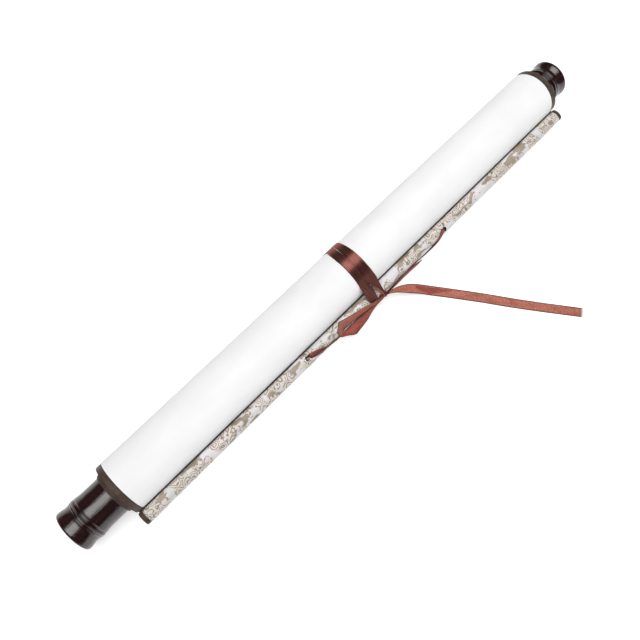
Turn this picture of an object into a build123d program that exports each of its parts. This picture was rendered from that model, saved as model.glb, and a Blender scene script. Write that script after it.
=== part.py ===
"""Hanging scroll, rolled up and tied with a ribbon. Units are millimetres.

The roller runs along X, Z is up and the table is Z = 0. The origin is the middle of the
small flat on which the soft roll rests. The top stave lies along the roll on its -Y side.
"""

import os
from math import cos, hypot, pi, radians, sin, sqrt, tan

from build123d import *

# ---- driving dimensions -------------------------------------------------------------
# rolled sheet
roll_radius = 21.0
white_length = 445.4  # width of the white backing paper
silk_margin = 4.8  # dark silk edging beyond the paper, at each end
inner_turns_radius = 16.7  # turns below this have slid along the roller
telescope = 3.1  # how far they have slid towards -X
rest_flat = 9.0  # width of the flat that the soft roll rests on

# roller
roller_radius = 15.2
roll_clearance = 0.05  # roller to the innermost turn
tenon_radius = 7.0
tenon_length = 18.0
tenon_clearance = 0.05
tenon_end_gap = 0.3

# turned end knobs
knob_length = 40.0
knob_left_reach = 38.5  # how far the knob stands out of the rolled sheet
knob_right_reach = 21.7
joint_position = 24.6  # groove, measured from the knob's inner face
joint_radius = 15.8
groove_radius = 15.1
groove_width = 1.4
bead_radius = 16.0
bead_width = 2.4
waist_radius = 15.3
waist_position = 32.6
flare_radius = 16.1
flare_position = 38.4
rim_radius = 14.6
dish_depth = 0.8

# top stave, in its brocade
stave_depth = 10.2  # outwards from the roll, cloth included
stave_height = 7.2
stave_gap = 0.5  # roll to brocade
stave_angle = 11.3  # how far below the roll's centre it sits
brocade_overhang = 2.5  # beyond the white paper, at each end
end_band = 3.5  # dark silk on each end of the stave
cloth = 0.5
neck_thickness = 1.2  # where the sheet crosses from roll to stave
neck_drop = 1.4
neck_overrun = 2.0  # its two ends run on this far in all, into roll and stave
hole_left_x = -71.3
hole_right_x = 79.2
hole_radius = 1.8
hole_depth = 3.0
slit_length = 5.2
slit_width = 0.9
slit_turn = -35.0

# ribbon
ribbon_width = 8.0
ribbon_thickness = 0.4
band_left_x = -8.6
band_right_x = 6.4
cord_radius = 1.0  # hanging ribbon, gathered
knot_x = 9.0
knot_gap = 0.2  # knotted ribbons to the band under them
knot_size = (7.0, 3.6, 6.0)
knot_round = 1.2
gathered_size = (2.4, 1.6)  # the tail where it leaves the knot
loop_thickness = 1.8
loop_lift = 1.8  # underside of the loop above the knot's middle
loop_slope_along = -0.075
loop_slope_across = 0.22
short_end_start = (2.5, -0.6, 0.2)  # from the knot's middle
short_end_slope = (1.0, -0.02, -0.08)
short_end_length = 38.0
short_end_height = 5.0
tip_cut = 5.0
band_room = 30.0  # stretch of roll and stave, beyond the band, that the knot lies against

# ---- worked out from them ------------------------------------------------------------
half_flat = rest_flat / 2
axis_height = sqrt(roll_radius**2 - half_flat**2)
half_white = white_length / 2
half_sheet = half_white + silk_margin
half_brocade = half_white + brocade_overhang
half_cover = half_brocade + end_band
half_stave = half_cover - cloth
knob_left_end = -(half_sheet + knob_left_reach)
knob_right_end = half_sheet + knob_right_reach
barrel_length = knob_length - min(knob_left_reach, knob_right_reach)
bore_radius = roller_radius + roll_clearance
stave_distance = roll_radius + stave_gap + stave_depth / 2
tilt = radians(stave_angle)
stave_y = -stave_distance * cos(tilt)
stave_z = axis_height - stave_distance * sin(tilt)
band_outside = stave_distance + stave_depth / 2 + ribbon_thickness
knot_y = -(band_outside + knot_gap + cord_radius) * cos(tilt)
knot_z = axis_height - (roll_radius + stave_gap + stave_depth) * sin(tilt)


def roll_plane(x):
    """Cross-section plane of the roll: local X is +Y, local Y is +Z."""
    return Plane(origin=(x, 0, axis_height), x_dir=(0, 1, 0), z_dir=(1, 0, 0))


def stave_plane(x):
    """Cross-section plane of the stave: local X points at the roll, local Y up."""
    inwards = (0, cos(tilt), sin(tilt))
    return Plane(origin=(x, stave_y, stave_z), x_dir=inwards, z_dir=(1, 0, 0))


def above_table(height=0.0, size=700.0):
    """Keep only what is on or above the table, or a height above it."""
    with Locations((0, 0, height + size / 2)):
        Box(size, size, size, mode=Mode.INTERSECT)


def save(piece, label):
    piece.part.label = label
    export_step(piece.part, f"parts/{label}.step")


os.makedirs("parts", exist_ok=True)

# ---- rolled sheet: all its turns are one solid --------------------------------------
with BuildPart() as paper_roll:
    with BuildSketch(roll_plane(-half_white)):
        Circle(roll_radius)
        Circle(inner_turns_radius, mode=Mode.SUBTRACT)
    extrude(amount=white_length)
    with BuildSketch(roll_plane(-half_white - telescope)):
        Circle(inner_turns_radius)
        Circle(bore_radius, mode=Mode.SUBTRACT)
    extrude(amount=white_length)
    above_table()
    # the ribbon beds into the soft paper where the roll rests on it
    with BuildSketch(Plane.XY):
        with Locations(((band_left_x + band_right_x) / 2, 0)):
            Rectangle(band_right_x - band_left_x, 2 * roll_radius)
    extrude(amount=ribbon_thickness, mode=Mode.SUBTRACT)
save(paper_roll, "paper_roll")


# ---- silk edging: rolled up with the sheet, and folded over the stave's end -----------
def silk_edge(side):
    """Edging of one end of the sheet; side is -1 for the left and 1 for the right."""
    ring_x = min(side * half_white, side * half_sheet)
    band_x = min(side * half_brocade, side * half_cover)
    cap_x = min(side * half_stave, side * half_cover)
    neck_x = min(side * half_brocade, side * half_sheet)
    with BuildPart() as edge:
        with BuildSketch(roll_plane(ring_x)):
            Circle(roll_radius)
            Circle(inner_turns_radius, mode=Mode.SUBTRACT)
        extrude(amount=silk_margin)
        with BuildSketch(roll_plane(ring_x - telescope)):
            Circle(inner_turns_radius)
            Circle(bore_radius, mode=Mode.SUBTRACT)
        extrude(amount=silk_margin)
        with BuildSketch(stave_plane(neck_x)):
            with Locations(((stave_depth + stave_gap) / 2, -neck_drop)):
                Rectangle(stave_gap + neck_overrun, neck_thickness)
        extrude(amount=half_sheet - half_brocade)
        with BuildSketch(stave_plane(band_x)):
            Ellipse(stave_depth / 2, stave_height / 2)
        extrude(amount=end_band)
        with BuildSketch(stave_plane(band_x)):
            Ellipse(stave_depth / 2 - cloth, stave_height / 2 - cloth)
        extrude(amount=end_band, mode=Mode.SUBTRACT)
        with BuildSketch(stave_plane(cap_x)):
            Ellipse(stave_depth / 2 - cloth, stave_height / 2 - cloth)
        extrude(amount=cloth)
        above_table()
    return edge


save(silk_edge(-1), "silk_edge_left")
save(silk_edge(1), "silk_edge_right")


# ---- roller: a dowel with a tenon in each knob ---------------------------------------
def knob_profile():
    """Half outline of a knob on its inner face's plane, X along the knob, Y its radius."""
    groove_end = joint_position + groove_width
    bead_end = groove_end + bead_width
    with BuildLine() as outline:
        face = Line((0, 0), (0, roller_radius))
        barrel = Line(face @ 1, (barrel_length, roller_radius))
        swell = Spline(
            barrel @ 1,
            (joint_position, joint_radius),
            tangents=((1, 0), (1, 0.12)),
        )
        groove = ThreePointArc(
            swell @ 1,
            (joint_position + groove_width / 2, groove_radius),
            (groove_end, joint_radius),
        )
        bead = ThreePointArc(
            groove @ 1,
            (groove_end + bead_width / 2, bead_radius),
            (bead_end, joint_radius),
        )
        waist = Spline(
            bead @ 1,
            (waist_position, waist_radius),
            (flare_position, flare_radius),
            tangents=((1, -0.25), (1, 0)),
        )
        rim = TangentArc(waist @ 1, (knob_length, rim_radius), tangent=(1, 0))
        dish = Line(rim @ 1, (knob_length - dish_depth, 0))
        Line(dish @ 1, (0, 0))
    return outline.line


def knob(end_x, side):
    """Knob whose outer end is at end_x; side is -1 for the left and 1 for the right."""
    inner_face = Plane(
        origin=(end_x - side * knob_length, 0, axis_height),
        x_dir=(side, 0, 0),
        z_dir=(0, -side, 0),
    )
    axis = Axis((end_x, 0, axis_height), (1, 0, 0))
    socket_depth = tenon_length + tenon_end_gap
    with BuildPart() as piece:
        with BuildSketch(inner_face):
            with BuildLine():
                add(knob_profile())
            make_face()
        revolve(axis=axis)
        with BuildSketch(inner_face):
            with Locations((socket_depth / 2, (tenon_radius + tenon_clearance) / 2)):
                Rectangle(socket_depth, tenon_radius + tenon_clearance)
        revolve(axis=axis, mode=Mode.SUBTRACT)
    return piece


save(knob(knob_left_end, -1), "knob_left")
save(knob(knob_right_end, 1), "knob_right")

dowel_left = knob_left_end + knob_length
dowel_right = knob_right_end - knob_length
with BuildPart() as roller_dowel:
    with BuildSketch(roll_plane(dowel_left)):
        Circle(roller_radius)
    extrude(amount=dowel_right - dowel_left)
    with BuildSketch(roll_plane(dowel_left - tenon_length)):
        Circle(tenon_radius)
    extrude(amount=dowel_right - dowel_left + 2 * tenon_length)
save(roller_dowel, "roller_dowel")


# ---- top stave and its brocade --------------------------------------------------------
# one round hole for each end of the hanging ribbon, with a torn slit at the right one
stave_top = Plane(
    origin=(0, stave_y, stave_z),
    x_dir=(1, 0, 0),
    z_dir=(0, -sin(tilt), cos(tilt)),
).offset(stave_height)
with BuildPart() as ribbon_holes:
    with BuildSketch(stave_top):
        with Locations((hole_left_x, 0), (hole_right_x, -slit_length / 2)):
            Circle(hole_radius)
        with Locations(Location((hole_right_x + slit_width, 0), slit_turn + 90)):
            SlotOverall(slit_length, slit_width)
    extrude(amount=-(stave_height / 2 + hole_depth))

with BuildPart() as top_stave:
    with BuildSketch(stave_plane(-half_stave)):
        Ellipse(stave_depth / 2 - cloth, stave_height / 2 - cloth)
    extrude(amount=2 * half_stave)
    add(ribbon_holes.part, mode=Mode.SUBTRACT)
save(top_stave, "top_stave")

with BuildPart() as stave_brocade:
    with BuildSketch(stave_plane(-half_brocade)):
        Ellipse(stave_depth / 2, stave_height / 2)
    extrude(amount=2 * half_brocade)
    with BuildSketch(stave_plane(-half_white)):
        with Locations(((stave_depth + stave_gap) / 2, -neck_drop)):
            Rectangle(stave_gap + neck_overrun, neck_thickness)
    extrude(amount=white_length)
    with BuildSketch(stave_plane(-half_brocade)):
        Ellipse(stave_depth / 2 - cloth, stave_height / 2 - cloth)
    extrude(amount=2 * half_brocade, mode=Mode.SUBTRACT)
    with BuildSketch(roll_plane(-half_brocade)):
        Circle(roll_radius)
    extrude(amount=2 * half_brocade, mode=Mode.SUBTRACT)
    add(ribbon_holes.part, mode=Mode.SUBTRACT)
save(stave_brocade, "stave_brocade")


# ---- hanging ribbon: from hole to hole, along the outside of the stave -----------------
def corner_radii(points):
    """Radius at each corner: 0.45 of the shorter run over the tangent of half the turn."""
    radii = []
    for before, corner, after in zip(points, points[1:], points[2:]):
        run_in = Vector(*corner) - Vector(*before)
        run_out = Vector(*after) - Vector(*corner)
        half_turn = radians(run_in.get_angle(run_out)) / 2
        radii.append(0.45 * min(run_in.length, run_out.length) / tan(half_turn))
    return radii


def start_plane(points):
    """Section plane at the start of a ribbon, with its local X level."""
    ahead = Vector(*points[1]) - Vector(*points[0])
    return Plane(origin=points[0], x_dir=ahead.cross(Vector(0, 0, 1)), z_dir=ahead)


def report(label, piece, points, section):
    """Print the bends of a ribbon, and its volume beside its section times its length."""
    radii = corner_radii(points)
    length = FilletPolyline(*points, radius=radii, mode=Mode.PRIVATE).length
    print(label, "radii", [round(radius, 1) for radius in radii], "length", round(length, 1))
    print(label, "volume", round(piece.part.volume, 2), "of", round(section * length, 2))


hanging_points = [
    (hole_left_x, -26.5, 16.8),
    (hole_left_x + 1.2, -27.0, 20.4),
    (-62, -29.6, 19.4),
    (-52, -32.2, 16.8),
    (-36, -32.9, 14.9),
    (-14, -33.0, 14.5),
    (knot_x, knot_y, knot_z),
    (20, -31.9, 12.6),
    (33, -30.8, 10.4),
    (46, -31.2, 10.5),
    (58, -32.7, 11.9),
    (68, -33.2, 14.8),
    (75.2, -31.2, 18.4),
    (hole_right_x - 0.6, -28.9, 19.6),
    (hole_right_x, -28.4, 15.8),
]
with BuildPart() as hanging_ribbon:
    with BuildLine():
        FilletPolyline(*hanging_points, radius=corner_radii(hanging_points))
    with BuildSketch(start_plane(hanging_points)):
        Circle(cord_radius)
    sweep()
save(hanging_ribbon, "hanging_ribbon")
report("hanging_ribbon", hanging_ribbon, hanging_points, pi * cord_radius**2)


# ---- tie ribbon: two turns round roll and stave, a knot, one loop and a short end -------
def wrap_angle(grow):
    """Angle at which a ribbon leaves the roll to pass tight over the stave."""
    low, high = radians(20), radians(80)
    while high - low > 1e-7:
        angle = (low + high) / 2
        reach = stave_distance * cos(angle) + ellipse_reach(angle, grow)
        if reach > roll_radius + grow:
            low = angle
        else:
            high = angle
    return low


def ellipse_reach(angle, grow):
    """How far the stave's section reaches from its centre in that direction."""
    return hypot((stave_depth / 2 + grow) * cos(angle), (stave_height / 2 + grow) * sin(angle))


def wrap_outline(x, grow):
    """Sketch of roll and stave with a ribbon stretched tight round both."""
    angle = wrap_angle(grow)
    deep, high = stave_depth / 2 + grow, stave_height / 2 + grow
    reach = ellipse_reach(angle, grow)
    roll_x, roll_y = (roll_radius + grow) * cos(angle), (roll_radius + grow) * sin(angle)
    stave_x = stave_distance + deep**2 * cos(angle) / reach
    top_y = high**2 * sin(angle) / reach
    plane = Plane(origin=(x, 0, axis_height), x_dir=(0, cos(tilt), sin(tilt)), z_dir=(1, 0, 0))
    with BuildSketch(plane) as outline:
        Circle(roll_radius + grow)
        with Locations((-stave_distance, 0)):
            Ellipse(deep, high)
        corners = [(-roll_x, -roll_y), (-roll_x, roll_y), (-stave_x, top_y), (-stave_x, -top_y)]
        Polygon(*corners, align=None)
    return outline.sketch


def stave_outline(x, length):
    """Solid of the stave in its cloth, from x over that length."""
    with BuildPart() as solid:
        with BuildSketch(stave_plane(x)):
            Ellipse(stave_depth / 2, stave_height / 2)
        extrude(amount=length)
    return solid.part


band_width = band_right_x - band_left_x
with BuildPart() as wrapped:
    extrude(wrap_outline(band_left_x - band_room, 0), amount=band_width + 2 * band_room)
    above_table(ribbon_thickness)

# outline of the flattened loop seen from above, measured from the knot's middle
loop_outline = [
    (-1, 0.8),
    (-20, 2.5),
    (-32, 5.3),
    (-43.3, 7.5),
    (-46.5, 7.1),
    (-51, 3.5),
    (-51, 0.7),
    (-47, -2.9),
    (-40, -5.9),
    (-36.3, -5.7),
    (-26.5, -4.4),
    (-17, -2.1),
    (-1, -1.0),
]
loop_plane = Plane(
    origin=(knot_x, knot_y, knot_z + loop_lift),
    z_dir=(-loop_slope_along, -loop_slope_across, 1),
)
with BuildPart() as loop:
    with BuildSketch(Plane.XY):
        with Locations((knot_x, knot_y)):
            Polygon(*loop_outline, align=None)
    extrude(amount=2 * roll_radius)
    with BuildSketch(loop_plane, mode=Mode.PRIVATE) as loop_slab:
        Rectangle(4 * band_room, 4 * band_room)
    extrude(loop_slab.sketch, amount=loop_thickness, mode=Mode.INTERSECT)
    add(stave_outline(-half_white, white_length), mode=Mode.SUBTRACT)

short_end_plane = Plane(
    origin=Vector(knot_x, knot_y, knot_z) + Vector(*short_end_start),
    x_dir=short_end_slope,
    z_dir=(short_end_slope[1], -short_end_slope[0], 0),
)
tail_points = [
    (108.3, -149.6, 0.3),
    (99.2, -137.2, 0.3),
    (89.6, -124.2, 0.3),
    (76.5, -105.8, 0.3),
    (64.3, -87.6, 0.3),
    (53.6, -72.6, 0.3),
    (46.2, -62.2, 0.3),
    (40.6, -55.0, 0.8),
    (34.6, -47.8, 2.9),
    (28.4, -42.2, 5.6),
    (21.9, -37.4, 8.5),
    (15.9, -34.2, 10.7),
]
tail_root = start_plane(tail_points[::-1])
gathered = Plane(origin=(knot_x, knot_y, knot_z), x_dir=tail_root.x_dir, z_dir=tail_root.z_dir)
with BuildPart() as knot_lump:
    with Locations((knot_x, knot_y, knot_z)):
        Box(*knot_size)
    fillet(knot_lump.edges(), knot_round)

with BuildPart() as tie_ribbon:
    extrude(wrap_outline(band_left_x, ribbon_thickness), amount=band_width)
    above_table()
    add(knot_lump.part)
    # the end of the tail leaves the knot gathered, and opens to its full width
    with BuildSketch(gathered):
        Rectangle(*gathered_size)
    with BuildSketch(tail_root):
        Rectangle(ribbon_width, ribbon_thickness)
    loft()
    with BuildSketch(short_end_plane):
        Polygon(
            (0, -short_end_height / 2),
            (short_end_length - tip_cut, -short_end_height / 2),
            (short_end_length, 0),
            (short_end_length - tip_cut, short_end_height / 2),
            (0, short_end_height / 2),
            align=None,
        )
    extrude(amount=ribbon_thickness)
    add(wrapped.part, mode=Mode.SUBTRACT)
    add(loop.part)
    add(hanging_ribbon.part, mode=Mode.SUBTRACT)
save(tie_ribbon, "tie_ribbon")

# ---- tail: the tie ribbon's long free end, lying on the table -----------------------------
with BuildPart() as ribbon_tail:
    with BuildLine():
        FilletPolyline(*tail_points, radius=corner_radii(tail_points))
    with BuildSketch(start_plane(tail_points)):
        Rectangle(ribbon_width, ribbon_thickness)
    sweep()
save(ribbon_tail, "ribbon_tail")
report("ribbon_tail", ribbon_tail, tail_points, ribbon_width * ribbon_thickness)
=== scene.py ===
# %% [markdown]
# # A hanging scroll, rolled up and tied
# A hanging scroll is a long painting mounted on paper and silk. It has a wooden roller
# at its foot, with a turned knob on each end, and a slim stave at its head, covered in
# brocade. Rolled up, the white backing paper is outside, the stave lies along the roll,
# and a satin ribbon goes twice round both and ends in a knot.
# The hard parts come from the CAD frame. Here they get their finish, and every part
# made of cloth or paper is modelled as what it is.

# %% Load the frame
import math

import bmesh
import bpy
import numpy as np
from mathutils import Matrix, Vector
from mathutils.geometry import convex_hull_2d


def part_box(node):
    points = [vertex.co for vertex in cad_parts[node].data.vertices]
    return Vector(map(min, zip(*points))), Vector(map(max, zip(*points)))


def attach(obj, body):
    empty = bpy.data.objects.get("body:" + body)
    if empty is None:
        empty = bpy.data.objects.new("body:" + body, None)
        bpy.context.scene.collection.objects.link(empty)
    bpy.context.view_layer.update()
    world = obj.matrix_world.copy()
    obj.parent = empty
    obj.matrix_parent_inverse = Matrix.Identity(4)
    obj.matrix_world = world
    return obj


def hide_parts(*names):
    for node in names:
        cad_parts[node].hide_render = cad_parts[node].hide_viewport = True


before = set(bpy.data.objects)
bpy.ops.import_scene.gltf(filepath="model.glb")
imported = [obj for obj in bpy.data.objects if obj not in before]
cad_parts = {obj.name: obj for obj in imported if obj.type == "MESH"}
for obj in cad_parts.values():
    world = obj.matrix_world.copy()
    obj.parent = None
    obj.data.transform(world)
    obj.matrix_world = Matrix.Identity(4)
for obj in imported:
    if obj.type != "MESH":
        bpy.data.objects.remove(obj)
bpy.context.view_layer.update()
scene = bpy.context.scene
MM = 0.001
print("nodes:", ", ".join(sorted(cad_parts)))

# %% [markdown]
# ## Camera, floor and light
# A scroll is an almost white thing, so it is lit like one: a pale floor, a very large
# soft light above, which draws the long highlights on the lacquer, and a weaker low one
# in front. The Standard view keeps white paper white.

# %% Camera
camera = bpy.data.objects.new("camera", bpy.data.cameras.new("camera"))
camera.data.sensor_width = 36.0
camera.data.lens = 35.27
camera.data.clip_start = 0.01
camera.location = (-0.15125, -0.11804, 0.46114)
camera.rotation_euler = (math.radians(18.82), 0.0, -0.795)
scene.collection.objects.link(camera)
scene.camera = camera
scene.view_settings.view_transform = "Standard"
print("camera", round(camera.location.length, 3), "m from the scroll's middle")


# %% Floor and lights
FLOOR_SIZE = 30.0  # metres
FLOOR_GLOW = 0.55
ROOM_GLOW = 0.1


def area_light(name, place, aim, wide, long, power):
    """A soft light with one long side, at a place, turned towards a point."""
    data = bpy.data.lights.new(name, "AREA")
    data.shape = "RECTANGLE"
    data.size = long
    data.size_y = wide
    data.energy = power
    lamp = bpy.data.objects.new(name, data)
    lamp.location = place
    lamp.rotation_euler = (Vector(aim) - Vector(place)).to_track_quat("-Z", "Y").to_euler()
    scene.collection.objects.link(lamp)
    return lamp


def floor_finish(glow):
    """White table that also glows a little, so that shadows stay pale."""
    white = bpy.data.materials.new("white_table")
    white.use_nodes = True
    inputs = white.node_tree.nodes["Principled BSDF"].inputs
    inputs["Base Color"].default_value = (0.75, 0.75, 0.75, 1)
    inputs["Roughness"].default_value = 0.9
    inputs["Emission Color"].default_value = (1, 1, 1, 1)
    inputs["Emission Strength"].default_value = glow
    return white


def lay_floor(size):
    """One large square at table height."""
    mesh = bpy.data.meshes.new("floor")
    half = size / 2
    corners = [(-half, -half, 0), (half, -half, 0), (half, half, 0), (-half, half, 0)]
    mesh.from_pydata(corners, [], [(0, 1, 2, 3)])
    mesh.materials.append(floor_finish(FLOOR_GLOW))
    floor = bpy.data.objects.new("floor", mesh)
    scene.collection.objects.link(floor)


lay_floor(FLOOR_SIZE)
overhead = area_light("overhead", (0.1, 0.0, 1.15), (0.1, 0, 0), wide=0.85, long=1.7, power=17.2)
front = area_light("front", (0.0, -1.7, 0.3), (0, 0, 0), wide=0.5, long=3.0, power=5.5)
front.visible_glossy = False  # it lifts the shadows, and the lacquer doesn't mirror it
world = bpy.data.worlds.new("studio")
scene.world = world
world.use_nodes = True
sky = world.node_tree.nodes["Background"].inputs
sky["Color"].default_value = (1, 1, 1, 1)
sky["Strength"].default_value = ROOM_GLOW
print("lights:", overhead.data.energy, front.data.energy, "watts")


# %% [markdown]
# ## Finishes
# Every finish is a small tree of nodes. Patterns read Object coordinates, in metres, or
# the piece's own UV map where a weave has to follow the cloth. The helpers keep each
# finish short: one adds a node and joins its inputs, one makes a colour ramp.

# %% Helpers for node trees
def rgb(red, green, blue):
    """A colour as painters give it, 0 to 255, turned into the linear values nodes use."""
    def one(value):
        value = value / 255
        return value / 12.92 if value <= 0.04045 else ((value + 0.055) / 1.055) ** 2.4
    return (one(red), one(green), one(blue), 1.0)


class NodeTree:
    """What the trees of materials and of Geometry Nodes have in common."""

    def join(self, value, socket):
        """Link a socket to another node's output, or set it to a constant."""
        if isinstance(value, bpy.types.NodeSocket):
            self.tree.links.new(value, socket)
        else:
            socket.default_value = value

    def add(self, kind, values, output=0, **settings):
        """Add a node; values are its inputs by name or number, settings its own fields."""
        made = self.tree.nodes.new(kind if "Node" in kind else self.prefix + kind)
        for field, value in settings.items():
            setattr(made, field, value)
        for key, value in values.items():
            for one in value if isinstance(value, list) else [value]:
                self.join(one, made.inputs[key])
        return made.outputs[output]

    def sums(self, operation, first, second=0.0):
        """One step of arithmetic."""
        return self.add("ShaderNodeMath", {0: first, 1: second}, operation=operation)

    def plus(self, first, second):
        return self.sums("ADD", first, second)

    def minus(self, first, second):
        return self.sums("SUBTRACT", first, second)

    def times(self, first, second):
        return self.sums("MULTIPLY", first, second)


class Finish(NodeTree):
    """A material whose nodes are added one call at a time."""
    prefix = "ShaderNode"

    def __init__(self, name, roughness, **constants):
        self.material = bpy.data.materials.new(name)
        self.material.use_nodes = True
        self.tree = self.material.node_tree
        self.shader = self.tree.nodes["Principled BSDF"]
        self.shader.inputs["Roughness"].default_value = roughness
        for socket, value in constants.items():
            self.shader.inputs[socket.replace("_", " ")].default_value = value
        self.coords = self.tree.nodes.new("ShaderNodeTexCoord").outputs

    def place(self, space="Object", scale=(1, 1, 1), turn=(0, 0, 0)):
        """Coordinates of a space, scaled and turned."""
        source = self.coords[space]
        return self.add("Mapping", {"Vector": source, "Scale": scale, "Rotation": turn})

    def noise(self, where, scale, detail=4.0, rough=0.5, output=0):
        values = {"Vector": where, "Scale": scale, "Detail": detail, "Roughness": rough}
        return self.add("TexNoise", values, output)

    def ramp(self, factor, *stops):
        """Colour ramp of (place, colour) stops."""
        made = self.add("ValToRGB", {0: factor})
        line = made.node.color_ramp.elements
        while len(line) < len(stops):
            line.new(0.5)
        for element, (place, colour) in zip(line, stops):
            element.position = place
            element.color = colour
        return made

    def mix(self, factor, first, second):
        return self.add("Mix", {0: factor, 6: first, 7: second}, 2, data_type="RGBA")

    def bump(self, height, strength, distance, under=None):
        values = {"Height": height, "Strength": strength, "Distance": distance}
        if under is not None:
            values["Normal"] = under
        return self.add("Bump", values)

    def parts(self, space):
        """The X, Y and Z of a space's coordinates."""
        split = self.add("SeparateXYZ", {"Vector": self.coords[space]})
        return split.node.outputs

    def finish(self, colour, normal=None):
        self.join(colour, self.shader.inputs["Base Color"])
        if normal is not None:
            self.join(normal, self.shader.inputs["Normal"])
        return self.material


BLACK, WHITE = (0, 0, 0, 1), (1, 1, 1, 1)


# %% Paper, lacquer and wood
# the bottom line of the gap between roll and stave, where the painted shade is darkest
CREVICE_Y = -20.9 * MM
CREVICE_Z = 16.6 * MM


def painted_crevice_shade(cloth, colour, reach):
    """Painted shade: darken the colour towards the bottom of the narrow gap between roll and
    stave.
    """
    where = cloth.parts("Object")
    off_y = cloth.minus(where["Y"], CREVICE_Y)
    off_z = cloth.minus(where["Z"], CREVICE_Z)
    square = cloth.plus(cloth.sums("POWER", off_y, 2), cloth.sums("POWER", off_z, 2))
    share = cloth.sums("DIVIDE", cloth.sums("SQRT", square), reach)
    near = cloth.ramp(share, (0.85, WHITE), (1.0, BLACK))
    return cloth.mix(near, colour, rgb(7, 6, 6))


def backing_paper():
    """White mulberry paper: faint long fibres and a soft, slightly uneven surface."""
    paper = Finish("backing_paper", 0.8, Specular_IOR_Level=0.25)
    fibres = paper.noise(paper.place(scale=(0.25, 1, 1), turn=(0, 0, 0.3)), 2200, 6, 0.6)
    cloud = paper.noise(paper.place(scale=(0.5, 1, 1)), 60, 3)
    tone = paper.ramp(cloud, (0.3, rgb(240, 240, 241)), (0.7, rgb(246, 246, 246)))
    fine = paper.bump(fibres, 0.25, 0.00005)
    # painted shade in the gap next to the stave
    shaded = painted_crevice_shade(paper, tone, 1.8 * MM)
    return paper.finish(shaded, paper.bump(cloud, 0.5, 0.0004, fine))


KNOBS_MIDDLE = -8.4 * MM  # the left knob stands out further than the right one
RINGS_AT = 244.0 * MM  # from there, on both sides
RINGS_REACH = 3.6 * MM
RING_PITCH = 1.6 * MM


def turned_rings(coat):
    """Height of the fine rings cut round the joint of each knob."""
    far = coat.sums("ABSOLUTE", coat.minus(coat.parts("Object")["X"], KNOBS_MIDDLE))
    off = coat.minus(far, RINGS_AT)
    waves = coat.sums("SINE", coat.times(off, 2 * math.pi / RING_PITCH))
    share = coat.sums("DIVIDE", coat.sums("ABSOLUTE", off), RINGS_REACH)
    return coat.times(waves, coat.ramp(share, (0.8, WHITE), (1.0, BLACK)))


def lacquer():
    """Almost black red-brown lacquer over turned wood, the red grain just showing."""
    coat = Finish(
        "lacquer", 0.45, Specular_IOR_Level=0.0, Coat_Weight=1.0, Coat_Roughness=0.1,
        Coat_IOR=1.7,
    )
    grain = coat.noise(coat.place(scale=(0.06, 1, 1)), 700, 5, 0.6)
    colour = coat.ramp(
        grain, (0.38, rgb(15, 3, 4)), (0.58, rgb(40, 8, 9)), (0.72, rgb(84, 20, 20))
    )
    waves = coat.noise(coat.place(scale=(0.3, 1, 1)), 210, 2)
    streaks = coat.noise(coat.place(scale=(0.12, 1, 1)), 1100, 3, 0.6)
    brushed = coat.bump(streaks, 0.5, 0.00025)
    wavy = coat.bump(waves, 0.3, 0.0004, brushed)
    cut = coat.bump(turned_rings(coat), 0.8, 0.0003, wavy)
    coat.join(cut, coat.shader.inputs["Coat Normal"])
    return coat.finish(colour, cut)


def softwood(name, roughness, low, high):
    """Sanded softwood with long grain, between two tones."""
    wood = Finish(name, roughness)
    grain = wood.noise(wood.place(scale=(0.05, 1, 1)), 700, 6, 0.65)
    colour = wood.ramp(grain, (0.35, rgb(*low)), (0.65, rgb(*high)))
    return wood.finish(colour, wood.bump(grain, 0.3, 0.0001))


paper_finish, lacquer_finish = backing_paper(), lacquer()
wood_finish = softwood("bare_wood", 0.65, (150, 112, 72), (205, 172, 124))
# the stave shows only at the bottom of its small holes, where it lies in deep shade and looks
# nearly black; its wood is coloured nearly black as painted shade
stave_finish = softwood("stave_wood_painted_shade", 0.7, (14, 9, 8), (34, 22, 18))
print("made paper, lacquer and wood")


# %% Silk edging and brocade
PAPER_END = 222.7 * MM
SEAM_SHADOW_WIDTH = 0.8 * MM


def edging_silk():
    """Dark brown plain-weave silk: fine streaks round the roll, a redder patch or two,
    and a painted shadow line, nearly black, where the silk meets the paper."""
    silk = Finish("edge_silk", 0.65, Sheen_Weight=0.25, Sheen_Roughness=0.4)
    threads = silk.noise(silk.place(scale=(1, 0.12, 0.12)), 2600, 3)
    patches = silk.noise(silk.place(), 120, 3)
    dark = silk.ramp(threads, (0.35, rgb(40, 28, 22)), (0.7, rgb(86, 66, 53)))
    patchy = silk.ramp(patches, (0.55, BLACK), (0.8, WHITE))
    warm = silk.mix(patchy, dark, rgb(88, 54, 43))
    # painted shadow along the paper's edge
    far = silk.sums("ABSOLUTE", silk.parts("Object")["X"])
    past_paper = silk.minus(far, PAPER_END)
    share = silk.sums("DIVIDE", past_paper, SEAM_SHADOW_WIDTH)
    seam_shadow = silk.ramp(share, (0.7, WHITE), (1.0, BLACK))
    return silk.finish(silk.mix(seam_shadow, warm, rgb(14, 10, 9)), silk.bump(threads, 0.6, 0.0001))


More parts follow.
